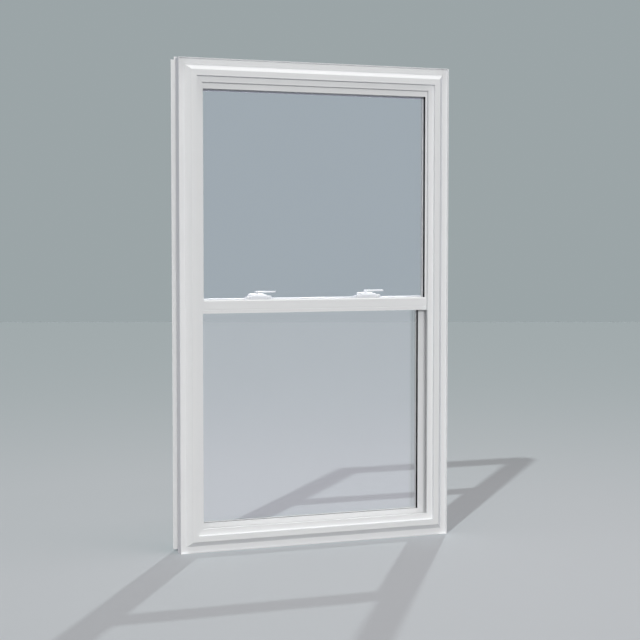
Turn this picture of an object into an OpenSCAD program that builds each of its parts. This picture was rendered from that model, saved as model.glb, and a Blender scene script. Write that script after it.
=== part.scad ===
// Double-hung sash window: a welded hollow frame with a picture-frame casing, two counterbalanced
// sashes with double glazing, two cam locks on the check rails and a spiral balance at each stile.
// X runs along the window, +Y goes indoors, +Z is up. The origin is at the middle of the foot.

/* [Overall] */
// Width of the frame between the casing's outer edges
frame_w = 902; // [700:1:1200]
// Height of the frame between the casing's outer edges
frame_h = 1511; // [1200:1:1900]

/* [Casing] */
// Thickness of the raised lip around the outer edge
edge_lip_t = 2; // [1.5:0.1:4]
// How far that lip stands in front of the flat band
edge_lip_rise = 7.4; // [3:0.1:12]
// Width of the flat band, lip included
band_w = 20; // [16:0.5:30]
// Width of the bevel between the band and the crown
bevel_w = 16; // [10:0.5:24]
// How far the crown stands in front of the band
bevel_rise = 18.6; // [12:0.1:24]
// Width of the flat crown
crown_w = 18; // [10:0.5:26]
// Depth of the step from the crown down to the inner ledge
step_drop = 10.2; // [5:0.1:14]
// Width of the inner ledge, which laps over the sash
ledge_w = 18.9; // [14:0.1:26]
// Thickness of the inner ledge
ledge_t = 7.4; // [5:0.1:12]
// Depth of the casing from the crown to its back
casing_depth = 45.6; // [40:0.1:60]

/* [Frame body] */
// Wall thickness of the hollow frame members
frame_wall = 2.2; // [1.6:0.1:3]
// Distance from the casing's edge in to the body's outer wall
body_inset = 20; // [12:0.5:26]
// Distance from the casing's edge to the floor of the outdoor track
outer_floor = 36; // [30:0.5:40]
// Distance from the casing's edge to the floor of the indoor track
inner_floor = 40; // [34:0.5:44]
// Thickness of the parting stop between the two tracks
stop_t = 4; // [3:0.1:5]
// Distance from the casing's edge to the parting stop's tip
stop_reach = 60; // [50:0.5:66]
// Distance from the casing's edge to the indoor stop's tip
inner_reach = 50; // [46:0.5:60]
// Thickness of the indoor stop
inner_stop_t = 14.4; // [10:0.1:24]
// Distance from the casing's edge to the lower edge of the head stop
head_stop_reach = 90; // [70:1:110]
// Distance from the crown back to the nailing fin
fin_setback = 68.6; // [62:0.1:80]
// Thickness of the nailing fin
fin_t = 2; // [1.5:0.1:3]
// How deep the fins sit in the kerfs of the frame body
fin_seat = 6; // [4:0.5:9]
// How far the side fins reach past the casing's edge
fin_reach = 8; // [4:0.5:30]
// How far the head fin reaches past the casing's edge
head_fin_reach = 6; // [4:0.5:30]
// Gap between the foot and the lower end of the side fins
fin_foot_gap = 6; // [0:0.5:30]
// Radius of the installation screw holes through the jambs
fixing_r = 2.6; // [2:0.1:4]
// Distance from the foot and from the top to those holes
fixing_from_end = 220; // [150:5:300]

/* [Sill] */
// Height of the ledge that the lower sash closes on
sill_ledge_z = 41; // [38:0.5:48]
// Height of the drained floor at the ledge
drain_high_z = 38; // [34:0.5:40]
// Height of the drained floor behind the casing
drain_low_z = 33; // [28:0.5:36]
// Length of a drain slot
drain_slot_l = 25; // [15:1:40]
// Width of a drain slot
drain_slot_w = 5; // [4:0.5:8]
// Distance of the drain slots from the middle
drain_slot_x = 300; // [200:5:330]

/* [Sashes] */
// Thickness of a sash
sash_t = 35; // [32:0.5:45]
// Wall thickness of the hollow sash members
sash_wall = 2.2; // [1.6:0.1:3]
// Face width of the stiles
stile_w = 40.7; // [38:0.1:60]
// Face width of the upper sash's top rail
top_rail_h = 51.6; // [45:0.1:80]
// Face width of the two check rails that meet in the middle
check_rail_h = 40.7; // [38:0.1:60]
// Face width of the lower sash's bottom rail
bottom_rail_h = 39.2; // [38:0.1:90]
// Gap between a stile and the floor of its track
side_clear = 2; // [1:0.1:3]
// Gap between the head's track floor and the upper sash
head_clear = 4; // [1:0.1:6]
// Gap between a sash face and the stop beside it
face_clear = 2; // [1:0.1:3]
// Gap between the two sashes
sash_gap = 6; // [5:0.1:10]
// How much higher the lower sash's check rail stands
check_offset = 2.6; // [0:0.1:4]
// Width of the chamfer along the upper check rail's top edge
check_chamfer = 2.9; // [1:0.1:3]
// Height of the groove on the upper check rail's face
face_groove_z = 11.5; // [8:0.1:20]
// Width of that groove
face_groove_w = 2; // [1:0.1:3]
// How far the lift handle stands off the bottom rail
lift_reach = 10; // [6:0.5:13]
// Thickness of the lift handle
lift_t = 3; // [2:0.1:5]
// How far a sash's travel falls short of its own height
travel_short = 115.9; // [100:0.1:300]

/* [Glazing] */
// Thickness of each pane
pane_t = 3; // [2.5:0.1:4]
// Thickness of the sealed gap between the panes
air_gap = 13; // [9:0.5:14]
// How deep the panes sit behind the sight line
glass_bite = 12; // [9:0.5:13]
// How far the spacer sits back from the sight line
spacer_setback = 1.9; // [1:0.1:4]
// Face width of the spacer
spacer_w = 7; // [5:0.1:8]
// Thickness of the sash's outdoor glazing leg
glazing_leg_t = 3; // [2.2:0.1:4]
// Gap for the glazing tape on both sides of the sealed unit
tape_t = 0.2; // [0.1:0.1:1]
// Thickness of the setting blocks, which is the gap all round the unit
block_t = 3; // [2:0.1:4]
// Length of a setting block
block_l = 100; // [60:5:120]

/* [Locks] */
// Distance between the two locks
lock_spread = 370; // [300:5:400]
// Length of a keeper
keeper_l = 82; // [76:1:92]
// Depth of a keeper
keeper_d = 12; // [11:0.1:12.2]
// Height of a keeper's end lobes
lobe_h = 11.3; // [9:0.1:13]
// Height of a keeper's hood
hood_h = 14.3; // [13.5:0.1:16]
// Height of a lock case
case_h = 14; // [13:0.1:16]
// Length of a lock case
case_l = 54; // [50:0.5:60]
// Depth of a lock case
case_d = 30.5; // [30:0.1:33]
// Distance of the spindle behind the lower check rail's outdoor face
spindle_back = 9; // [8:0.1:10]
// Radius of the spindle
spindle_r = 4; // [3:0.1:5]
// Radial clearance of the spindle in the case
spindle_clear = 0.06; // [0.02:0.01:0.1]
// Reach of the cam from the spindle's axis
cam_reach = 19.6; // [18.5:0.1:19.9]
// Length of the lever from the spindle's axis to its tip
lever_l = 62; // [45:0.5:75]
// Thickness of the lever
lever_t = 4.5; // [3:0.1:6]
// Radius of the lever's hub
lever_hub_r = 7; // [5.5:0.1:9]

/* [Balances] */
// Outer diameter of a balance tube
tube_d = 12; // [11:0.1:13]
// Bore of a balance tube
tube_bore = 9; // [8:0.1:9.5]
// Width of the twisted rod
rod_w = 6; // [5:0.1:6.5]
// Thickness of the twisted rod
rod_t = 2; // [1.5:0.1:3]
// Length of one full turn of the rod's twist
rod_pitch = 120; // [80:5:200]

/* [Hidden] */
$fn = 48;

VINYL = "white";
PILE = "dimgray";
CAST = "ghostwhite";
STEEL = "silver";
RUBBER = "black";
SPACER = [0.1, 0.1, 0.1];
PANE = [0.75, 0.85, 0.9, 0.35];

// Places across the casing, measured in from its outer edge
crown_start = band_w + bevel_w;
crown_end = crown_start + crown_w;
sight_frame = crown_end + ledge_w;

// Places through the depth, measured back from the crown
ledge_back = step_drop + ledge_t;
upper_front = ledge_back + face_clear;
lower_front = upper_front + sash_t + sash_gap;
stop_front = upper_front + sash_t + (sash_gap - stop_t) / 2;
stop_back = stop_front + stop_t;
inner_stop_front = lower_front + sash_t + face_clear;
frame_depth = inner_stop_front + inner_stop_t;
crown_y = -frame_depth / 2;
back_y = frame_depth / 2;
mitre_t = max(sight_frame, stop_reach, inner_reach) + 5;

// Kerf that holds a nailing fin's thinner tongue, and the notch and gap where two fins meet
tongue_t = fin_t - 0.4;
shoulder_gap = 0.2;
kerf_clear = 0.1;
kerf_end = body_inset + fin_seat;
kerf_back = fin_setback + tongue_t + kerf_clear;
fin_notch = 2;
fin_gap = 0.5;

// Sash outlines; both sashes have the same height
upper_w = frame_w - 2 * (outer_floor + side_clear);
lower_w = frame_w - 2 * (inner_floor + side_clear);
seal_t = 1.5;
upper_top_z = frame_h - outer_floor - head_clear;
lower_bottom_z = sill_ledge_z + seal_t;
upper_bottom_z = (upper_top_z + lower_bottom_z - check_rail_h - check_offset) / 2;
lower_top_z = upper_bottom_z + check_rail_h + check_offset;
upper_y = crown_y + upper_front;
lower_y = crown_y + lower_front;
travel = upper_top_z - upper_bottom_z - travel_short;

// Glazing pocket of a sash member, across from its outer edge and through its thickness
pocket_drop = glass_bite + block_t;
pane_front_v = glazing_leg_t + tape_t;
spacer_v = pane_front_v + pane_t;
pane_back_v = spacer_v + air_gap;
bead_v = pane_back_v + pane_t + tape_t;
bead_nib_w = 1.4;
bead_nib_h = 2.5;
bead_nib_clear = 0.1;
bead_edge_t = 2.6;
bead_slope = 4;

// Balance channel in the stiles' outer edges
channel_w = 16;
channel_depth = 16;
channel_v = (sash_t - channel_w) / 2;
tube_u = channel_depth / 2;
tube_v = sash_t / 2;
bracket_z = 20;
bracket_h = 20;
rod_seat = 10;
rod_l = travel + 50;
tube_gap = 5;
tube_l = rod_l + 20;
tube_cap_h = 11;
tube_plug_l = 12;

// Interlock hooks of the two check rails
hook_t = 1.3;
hook_z = 14;
hook_lip_h = 6;
hook_end = max(stop_reach, sight_frame) + 4;

// Check rail ledge behind the glass, where a keeper sits
keeper_v = sash_t - keeper_d - 0.1;
keeper_z = upper_bottom_z + check_rail_h;
keeper_web = 2.5;
hood_l = 50;
hood_slope = 4.2;
cavity_l = 43;
catch_l = 10;
catch_t = 1.5;
catch_h = 5.5;
lobe_l = 17;
screw_r = 1.9;
screw_head_r = 3.4;
screw_head_h = 2;
screw_l = 16;

// Lock case, cam and lever heights above the lower check rail
case_wall = 2;
case_top_t = 2.6;
ear_l = 78;
ear_w = 18;
ear_t = 3;
case_front = 0.8;
cam_z = 3.6;
cam_t = 3.6;
cam_w = 9;
tooth_t = 1.8;
tooth_drop = 3.1;
collar_gap = 0.2;
collar_h = 3.3;
neck_r = 3;
neck_clear = 0.02;
spindle_y = lower_y + spindle_back;
lever_z = lower_top_z + case_h + collar_gap + collar_h;

/* ---- shared shapes ---- */

// A section in (across, depth) drawn out along Z
module along_z(len) {
    linear_extrude(len) children();
}

// The same section drawn out along X, its first axis turned up to Z
module along_x(len) {
    translate([len / 2, 0, 0]) rotate([0, -90, 0]) linear_extrude(len) children();
}

// A prism through the depth with its outline in X and Z
module through_y(points, y0, y1) {
    translate([0, y1, 0]) rotate([90, 0, 0]) linear_extrude(y1 - y0) polygon(points);
}

module span(x0, x1, y0, y1, z0, z1) {
    translate([x0, y0, z0]) cube([x1 - x0, y1 - y0, z1 - z0]);
}

module plate(u0, u1, v0, v1) {
    translate([u0, v0]) square([u1 - u0, v1 - v0]);
}

module both_sides(right) {
    mirror([right ? 1 : 0, 0, 0]) children();
}

/* ---- frame sections, in (inset from the casing's edge, depth from the crown) ---- */

function casing_outline() = [
    [0, bevel_rise - edge_lip_rise],
    [edge_lip_t, bevel_rise - edge_lip_rise],
    [edge_lip_t, bevel_rise],
    [band_w, bevel_rise],
    [crown_start, 0],
    [crown_end, 0],
    [crown_end, step_drop],
    [sight_frame, step_drop],
    [sight_frame, ledge_back]
];

module casing_chambers() {
    w = frame_wall;
    band_back = bevel_rise + w;
    plate(w, band_w - w / 2, band_back, casing_depth - w);
    polygon([
        [band_w + w / 2, band_back + w / 2],
        [crown_start + w / 2, w],
        [crown_end - w, w],
        [crown_end - w, ledge_back - w],
        [outer_floor - w, ledge_back - w],
        [outer_floor - w, casing_depth - w],
        [band_w + w / 2, casing_depth - w]
    ]);
    plate(crown_end, sight_frame - w, step_drop + w, ledge_back - w);
}

module jamb_section() {
    w = frame_wall;
    body_in = body_inset + w;
    difference() {
        polygon(concat(casing_outline(), [
            [outer_floor, ledge_back],
            [outer_floor, stop_front],
            [stop_reach, stop_front],
            [stop_reach, stop_back],
            [inner_floor, stop_back],
            [inner_floor, inner_stop_front],
            [inner_reach, inner_stop_front],
            [inner_reach, frame_depth],
            [body_inset, frame_depth],
            [body_inset, casing_depth],
            [0, casing_depth]
        ]));
        casing_chambers();
        plate(body_inset - 1, kerf_end, fin_setback, kerf_back);
        plate(body_in, outer_floor - w, casing_depth, fin_setback - w);
        plate(body_in, inner_floor - w, kerf_back + w, inner_stop_front - w / 2);
        plate(body_in, inner_reach - w, inner_stop_front + w, frame_depth - w);
    }
}

module sill_section() {
    difference() {
        polygon(concat(casing_outline(), [
            [drain_low_z, ledge_back],
            [drain_high_z, stop_back],
            [sill_ledge_z, stop_back],
            [sill_ledge_z, inner_stop_front],
            [inner_reach, inner_stop_front],
            [inner_reach, frame_depth],
            [0, frame_depth]
        ]));
        intersection() {
            casing_chambers();
            plate(0, sight_frame, 0, ledge_back - frame_wall);
        }
    }
}

// The sill's chambers behind the casing, closed at both ends
module sill_chambers() {
    w = frame_wall;
    half = frame_w / 2 - kerf_end - w;
    top = drain_low_z - w;
    mid_y = crown_y + (stop_back + inner_stop_front) / 2;
    span(-half, half, crown_y + bevel_rise + w, crown_y + casing_depth - w, w, top);
    span(-half, half, crown_y + casing_depth, mid_y - w / 2, w, top);
    span(-half, half, mid_y + w / 2, back_y - w, w, sill_ledge_z - w);
}

module drain_slots() {
    for (side = [-1, 1]) {
        x = side * drain_slot_x;
        y = crown_y + ledge_back + drain_slot_w;
        span(x - drain_slot_l / 2, x + drain_slot_l / 2, y, y + drain_slot_w, -1, drain_high_z + 1);
    }
}

/* ---- frame members ---- */

module frame_head() {
    t = mitre_t;
    color(VINYL) intersection() {
        translate([0, crown_y, frame_h]) mirror([0, 0, 1]) along_x(frame_w) jamb_section();
        through_y([
            [-frame_w / 2, frame_h],
            [frame_w / 2, frame_h],
            [frame_w / 2 - t, frame_h - t],
            [-frame_w / 2 + t, frame_h - t]
        ], crown_y - 1, back_y + 1);
    }
}

module frame_sill() {
    t = mitre_t;
    body_half = frame_w / 2 - body_inset;
    color(VINYL) difference() {
        intersection() {
            translate([0, crown_y, 0]) along_x(frame_w) sill_section();
            through_y([
                [-frame_w / 2, 0],
                [frame_w / 2, 0],
                [frame_w / 2 - t, t],
                [-frame_w / 2 + t, t]
            ], crown_y - 1, back_y + 1);
        }
        sill_chambers();
        drain_slots();
        for (right = [false, true])
            both_sides(right) {
                span(-frame_w, -body_half, crown_y + casing_depth, back_y + 1, -1, body_inset);
                span(-frame_w, kerf_end - frame_w / 2, crown_y + fin_setback, crown_y + kerf_back, -1, t);
            }
    }
}

module frame_jamb(right) {
    t = mitre_t;
    x0 = -frame_w / 2;
    color(VINYL) both_sides(right) difference() {
        union() {
            intersection() {
                translate([x0, crown_y, 0]) along_z(frame_h) jamb_section();
                through_y([
                    [x0, 0],
                    [x0 + t, t],
                    [x0 + t, frame_h - t],
                    [x0, frame_h]
                ], crown_y - 1, back_y + 1);
            }
            stop_foot(x0);
        }
        for (z = [fixing_from_end, frame_h - fixing_from_end])
            fixing_hole(x0, z);
        for (pair = [[upper_y, upper_tube_top()], [lower_y, lower_tube_top()]])
            tube_screw_hole(pair[0] + tube_v, pair[1] + tube_cap_h / 2);
    }
}

// The parting stop runs on past the mitre, down to the sill's drained floor
module stop_foot(x0) {
    y0 = crown_y + stop_front;
    translate([0, y0 + stop_t, 0]) rotate([90, 0, 0]) linear_extrude(stop_t) polygon([
        [x0 + drain_high_z, drain_high_z],
        [x0 + stop_reach, drain_high_z],
        [x0 + stop_reach, stop_reach],
        [x0 + stop_reach - 1, stop_reach + 1]
    ]);
}

// Three strips mitred at the corners, with their inner edges at a given inset
module fin_strips(inset, t) {
    y0 = crown_y + fin_setback;
    half = frame_w / 2;
    tip = half - fin_notch;
    root = half - inset;
    for (right = [false, true])
        both_sides(right) through_y([
            [-half - fin_reach, fin_foot_gap],
            [-root, fin_foot_gap],
            [-root, frame_h - inset - fin_gap],
            [-tip, frame_h - fin_notch - fin_gap],
            [-half - fin_reach, frame_h - fin_notch - fin_gap]
        ], y0, y0 + t);
    through_y([
        [-tip, frame_h + head_fin_reach],
        [-tip, frame_h - fin_notch],
        [-root, frame_h - inset],
        [root, frame_h - inset],
        [tip, frame_h - fin_notch],
        [tip, frame_h + head_fin_reach]
    ], y0, y0 + t);
}

// The fins stop short of the frame body; their tongues are pushed into its kerfs
module nailing_fins() {
    color(VINYL) {
        fin_strips(body_inset - shoulder_gap, fin_t);
        fin_strips(kerf_end, tongue_t);
    }
}

module fixing_hole(x0, z) {
    y = crown_y + (fin_setback + inner_stop_front) / 2;
    translate([x0, y, z]) rotate([0, 90, 0]) cylinder(r = fixing_r, h = inner_floor + 1);
}

module tube_screw_hole(y, z) {
    translate([-frame_w / 2 + body_inset + frame_wall, y, z])
        rotate([0, 90, 0]) cylinder(r = screw_r, h = inner_floor);
}

module head_stop() {
    w = frame_wall;
    half = frame_w / 2 - inner_reach - 0.2;
    y0 = crown_y + inner_stop_front;
    z0 = frame_h - head_stop_reach;
    z1 = frame_h - inner_reach;
    color(VINYL) difference() {
        span(-half, half, y0, back_y, z0, z1);
        span(-half + w, half - w, y0 + w, back_y - w, z0 + w, z1 - w);
    }
}

/* ---- weatherstrips ---- */

pile_w = 5;
pile_t = 1.6;
pile_tip = 4;

module pile_outer_side(right) {
    x0 = -frame_w / 2 + sight_frame - pile_tip - pile_w;
    y0 = crown_y + ledge_back;
    color(PILE) both_sides(right)
        span(x0, x0 + pile_w, y0, y0 + pile_t, sight_frame, frame_h - sight_frame);
}

module pile_outer_head() {
    half = frame_w / 2 - sight_frame;
    y0 = crown_y + ledge_back;
    z0 = frame_h - sight_frame + pile_tip;
    color(PILE) span(-half, half, y0, y0 + pile_t, z0, z0 + pile_w);
}

module pile_inner_side(right) {
    x0 = -frame_w / 2 + inner_reach - 1 - pile_w;
    y1 = crown_y + inner_stop_front;
    color(PILE) both_sides(right)
        span(x0, x0 + pile_w, y1 - pile_t, y1, inner_reach + 2, frame_h - inner_reach - 2);
}

module check_rail_pile() {
    half = frame_w / 2 - hook_end;
    z0 = lower_top_z - 14;
    color(PILE) span(-half, half, lower_y - sash_gap + 0.6, lower_y, z0, z0 + pile_w);
}

module bottom_seal() {
    half = lower_w / 2 - stile_w;
    y0 = lower_y + sash_t / 2;
    color(RUBBER) span(-half, half, y0 - 6, y0 + 6, sill_ledge_z, lower_bottom_z);
}

/* ---- balances ---- */

function upper_tube_bottom() = upper_bottom_z + bracket_z + bracket_h + tube_gap;
function lower_tube_bottom() = lower_bottom_z + bracket_z + bracket_h + travel + tube_gap;
function upper_tube_top() = min(upper_tube_bottom() + tube_l, frame_h - outer_floor - tube_cap_h - 1);
function lower_tube_top() = lower_tube_bottom() + tube_l;

// A tube closed by a plug whose block screws to the floor of the track
module balance_tube(right, sash_w, sash_y, floor_inset, z0, z1) {
    x = -sash_w / 2 + tube_u;
    y = sash_y + tube_v;
    floor_x = -frame_w / 2 + floor_inset;
    color(STEEL) both_sides(right) difference() {
        union() {
            translate([x, y, z0]) cylinder(d = tube_d, h = z1 - z0);
            span(floor_x, x + 4, y - tube_d / 2 + 0.5, y + tube_d / 2 - 0.5, z1, z1 + tube_cap_h);
        }
        translate([x, y, z0 - 1]) cylinder(d = tube_bore, h = z1 - z0 - tube_plug_l + 1);
        translate([floor_x - 1, y, z1 + tube_cap_h / 2])
            rotate([0, 90, 0]) cylinder(r = screw_r, h = x - floor_x + 6);
    }
}

module balance_screw(right, sash_w, sash_y, z) {
    x = -sash_w / 2 + tube_u + 4;
    wall_x = -frame_w / 2 + body_inset + frame_wall;
    color(STEEL) both_sides(right) translate([x, sash_y + tube_v, z + tube_cap_h / 2]) {
        rotate([0, -90, 0]) cylinder(r = screw_r, h = x - wall_x - 2);
        rotate([0, 90, 0]) cylinder(r1 = screw_head_r, r2 = screw_r, h = screw_head_h);
    }
}

module balance_screws() {
    for (right = [false, true]) {
        balance_screw(right, upper_w, upper_y, upper_tube_top());
        balance_screw(right, lower_w, lower_y, lower_tube_top());
    }
}

module balance_rod(right, sash_w, sash_y, sash_z) {
    turns = rod_l / rod_pitch;
    color(STEEL) both_sides(right)
        translate([-sash_w / 2 + tube_u, sash_y + tube_v, sash_z + bracket_z + rod_seat])
            linear_extrude(rod_l, twist = 360 * turns, slices = ceil(turns * 12), segments = 4)
                square([rod_w, rod_t], center = true);
}

module rod_bracket(right, sash_w, sash_y, sash_z) {
    x0 = -sash_w / 2;
    y = sash_y + tube_v;
    z0 = sash_z + bracket_z;
    half = channel_w / 2 - 0.5;
    color(CAST) both_sides(right) difference() {
        span(x0 + 1.5, x0 + channel_depth, y - half, y + half, z0, z0 + bracket_h);
        translate([x0 + tube_u, y, z0 + rod_seat]) cylinder(d = rod_w + 0.7, h = bracket_h);
    }
}

/* ---- sash sections, in (distance from the outer edge, depth from the sash's face) ---- */

// Solid outline of a member: the box that carries the glass, and the outdoor glazing leg
module sash_outline(width) {
    floor_u = width - pocket_drop;
    difference() {
        union() {
            plate(0, floor_u, 0, sash_t);
            plate(0, width, 0, glazing_leg_t);
        }
        plate(floor_u - bead_nib_h, floor_u + 1, bead_v + 3, bead_v + 3 + bead_nib_w);
    }
}

module rail_section(width) {
    w = sash_wall;
    top = width - pocket_drop - bead_nib_h - w;
    difference() {
        sash_outline(width);
        plate(w, top, w, sash_t / 2 - w / 2);
        plate(w, top, sash_t / 2 + w / 2, sash_t - w);
    }
}

module stile_section(width) {
    w = sash_wall;
    top = width - pocket_drop - bead_nib_h - w;
    difference() {
        sash_outline(width);
        plate(-1, channel_depth, channel_v, channel_v + channel_w);
        plate(w, top, w, channel_v - w);
        plate(w, top, channel_v + channel_w + w, sash_t - w);
    }
}

// The upper check rail has a fixed indoor wall, a chamfered top edge and a groove on its face
module upper_check_section() {
    w = sash_wall;
    width = check_rail_h;
    floor_u = width - pocket_drop;
    groove_r = face_groove_w / 2;
    difference() {
        union() {
            plate(0, floor_u, 0, sash_t);
            polygon([
                [0, 0],
                [width - check_chamfer, 0],
                [width, check_chamfer],
                [width, glazing_leg_t],
                [0, glazing_leg_t]
            ]);
            plate(0, width, bead_v, sash_t);
            plate(hook_z, hook_z + hook_t, sash_t - 1, sash_t + 3.9);
            plate(hook_z, hook_z + hook_lip_h, sash_t + 3.9 - hook_t, sash_t + 3.9);
        }
        plate(w, floor_u - w, w, sash_t / 2 - w / 2);
        plate(w, floor_u - w, sash_t / 2 + w / 2, sash_t - w);
        plate(floor_u, width - w, bead_v + w, sash_t - w);
        polygon([
            [face_groove_z - groove_r, -0.01],
            [face_groove_z + groove_r, -0.01],
            [face_groove_z, groove_r]
        ]);
    }
}

// Both hooks stop short of the parting stops
module upper_hook_ends(z0) {
    y0 = upper_y + sash_t;
    for (right = [false, true])
        both_sides(right)
            span(frame_w / 2 - hook_end, frame_w / 2, y0, y0 + sash_gap, z0, z0 + check_rail_h);
}

module lower_hook() {
    half = frame_w / 2 - hook_end;
    z1 = upper_bottom_z + hook_z + hook_lip_h + 3;
    y0 = lower_y - sash_gap + 0.8;
    color(VINYL) {
        span(-half, half, y0, lower_y + 1, z1, z1 + hook_t);
        span(-half, half, y0, y0 + hook_t, z1 - hook_lip_h + 2, z1 + hook_t);
    }
}

module bead_section(width) {
    floor_u = width - pocket_drop;
    nib_v = bead_v + 3 + bead_nib_clear;
    polygon([
        [floor_u, bead_v],
        [width, bead_v],
        [width, bead_v + bead_edge_t],
        [width - bead_slope, sash_t],
        [floor_u, sash_t],
        [floor_u, nib_v + bead_nib_w - 2 * bead_nib_clear],
        [floor_u - bead_nib_h + bead_nib_clear, nib_v + bead_nib_w - 2 * bead_nib_clear],
        [floor_u - bead_nib_h + bead_nib_clear, nib_v],
        [floor_u, nib_v]
    ]);
}

/* ---- sash members: each sash is [width, face y, bottom z, top z, bottom rail, top rail] ---- */

UPPER = [upper_w, upper_y, upper_bottom_z, upper_top_z, check_rail_h, top_rail_h];
LOWER = [lower_w, lower_y, lower_bottom_z, lower_top_z, bottom_rail_h, check_rail_h];

function opening_z(sash) = [sash[2] + sash[4], sash[3] - sash[5]];

// Mitred zone of a rail: the trapezium from the outer corners in to the sight line's corners
module rail_zone(sash, top) {
    half = sash[0] / 2;
    z0 = top ? sash[3] : sash[2];
    z1 = top ? sash[3] - sash[5] : sash[2] + sash[4];
    through_y([
        [-half, z0],
        [half, z0],
        [half - stile_w, z1],
        [-half + stile_w, z1]
    ], sash[1] - sash_gap, sash[1] + sash_t + sash_gap + lift_reach);
}

module stile_zone(sash) {
    x0 = -sash[0] / 2;
    through_y([
        [x0, sash[2]],
        [x0 + stile_w, sash[2] + sash[4]],
        [x0 + stile_w, sash[3] - sash[5]],
        [x0, sash[3]]
    ], sash[1] - 1, sash[1] + sash_t + 1);
}

// The balance channels run out through the corners of the rails
module corner_notches(sash) {
    y0 = sash[1] + channel_v;
    half = sash[0] / 2;
    for (right = [false, true])
        both_sides(right)
            span(half - channel_depth, half + 1, y0, y0 + channel_w, sash[2] - 1, sash[3] + 1);
}

module sash_stile(sash, right) {
    color(VINYL) both_sides(right) intersection() {
        translate([-sash[0] / 2, sash[1], sash[2]]) along_z(sash[3] - sash[2]) stile_section(stile_w);
        stile_zone(sash);
    }
}

module bottom_member(sash) {
    translate([0, sash[1], sash[2]]) along_x(sash[0]) children();
}

module top_member(sash) {
    translate([0, sash[1], sash[3]]) mirror([0, 0, 1]) along_x(sash[0]) children();
}

module upper_top_rail() {
    color(VINYL) difference() {
        intersection() {
            top_member(UPPER) rail_section(top_rail_h);
            rail_zone(UPPER, true);
        }
        corner_notches(UPPER);
    }
}

module upper_check_rail() {
    color(VINYL) difference() {
        intersection() {
            bottom_member(UPPER) upper_check_section();
            rail_zone(UPPER, false);
        }
        corner_notches(UPPER);
        upper_hook_ends(UPPER[2]);
        for (x = lock_places())
            keeper_fixing_holes(x);
    }
}

module lower_check_rail() {
    color(VINYL) difference() {
        union() {
            intersection() {
                top_member(LOWER) rail_section(check_rail_h);
                rail_zone(LOWER, true);
            }
            lower_hook();
        }
        corner_notches(LOWER);
        for (x = lock_places())
            case_fixing_holes(x);
    }
}

module lower_bottom_rail() {
    half = lower_w / 2 - stile_w;
    y1 = lower_y + sash_t;
    z = lower_bottom_z + bottom_rail_h - pocket_drop - lift_t - 1;
    color(VINYL) difference() {
        union() {
            intersection() {
                bottom_member(LOWER) rail_section(bottom_rail_h);
                rail_zone(LOWER, false);
            }
            span(-half, half, y1 - 1, y1 + lift_reach, z, z + lift_t);
            span(-half, half, y1 + lift_reach - lift_t, y1 + lift_reach, z - lift_t, z + lift_t);
        }
        corner_notches(LOWER);
    }
}

module glazing_bead(sash, side) {
    half = sash[0] / 2;
    color(VINYL) intersection() {
        if (side == "top") top_member(sash) bead_section(sash[5]);
        else if (side == "bottom") bottom_member(sash) bead_section(sash[4]);
        else both_sides(side == "right")
            translate([-half, sash[1], sash[2]]) along_z(sash[3] - sash[2]) bead_section(stile_w);
        if (side == "top") rail_zone(sash, true);
        else if (side == "bottom") rail_zone(sash, false);
        else both_sides(side == "right") stile_zone(sash);
    }
}

// The upper sash has no bottom bead, so its side beads stand on the check rail's indoor wall
module upper_side_bead(right) {
    color(VINYL) both_sides(right) difference() {
        glazing_bead(UPPER, "left");
        span(-upper_w, upper_w, upper_y, upper_y + sash_t + 1, UPPER[2], UPPER[2] + check_rail_h);
    }
}

/* ---- sealed glass units ---- */

module pane(sash, inner) {
    half = sash[0] / 2 - stile_w + glass_bite;
    z = opening_z(sash);
    y0 = sash[1] + (inner ? pane_back_v : pane_front_v);
    color(PANE) span(-half, half, y0, y0 + pane_t, z[0] - glass_bite, z[1] + glass_bite);
}

module spacer(sash) {
    sight = sash[0] / 2 - stile_w;
    z = opening_z(sash);
    y0 = sash[1] + spacer_v;
    inner = spacer_setback;
    outer = spacer_setback + spacer_w;
    color(SPACER) difference() {
        span(-sight - outer, sight + outer, y0, y0 + air_gap, z[0] - outer, z[1] + outer);
        span(-sight - inner, sight + inner, y0 - 1, y0 + air_gap + 1, z[0] - inner, z[1] + inner);
    }
}

module setting_blocks(sash) {
    half = sash[0] / 2 - stile_w;
    z = opening_z(sash)[0] - pocket_drop;
    y0 = sash[1] + pane_front_v;
    color(RUBBER) for (side = [-1, 1])
        translate([side * half / 2 - block_l / 2, y0, z])
            cube([block_l, pane_back_v + pane_t - pane_front_v, block_t]);
}

/* ---- locks and keepers ---- */

function lock_places() = [-lock_spread / 2, lock_spread / 2];

// A block with round ends and a chamfered top
module lobe(length, depth, height, edge) {
    r = depth / 2;
    run = length / 2 - r;
    union() {
        for (x = [-run, run])
            translate([x, 0, 0]) {
                cylinder(r = r, h = height - edge);
                translate([0, 0, height - edge]) cylinder(r1 = r, r2 = r - edge, h = edge);
            }
        rotate([90, 0, 90]) translate([0, 0, -run]) linear_extrude(2 * run) polygon([
            [-r, 0],
            [r, 0],
            [r, height - edge],
            [r - edge, height],
            [edge - r, height],
            [-r, height - edge]
        ]);
    }
}

keeper_screw_x = keeper_l / 2 - lobe_l / 2;
keeper_mid_y = upper_y + keeper_v + keeper_d / 2;
screw_recess = 0.6;

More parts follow.
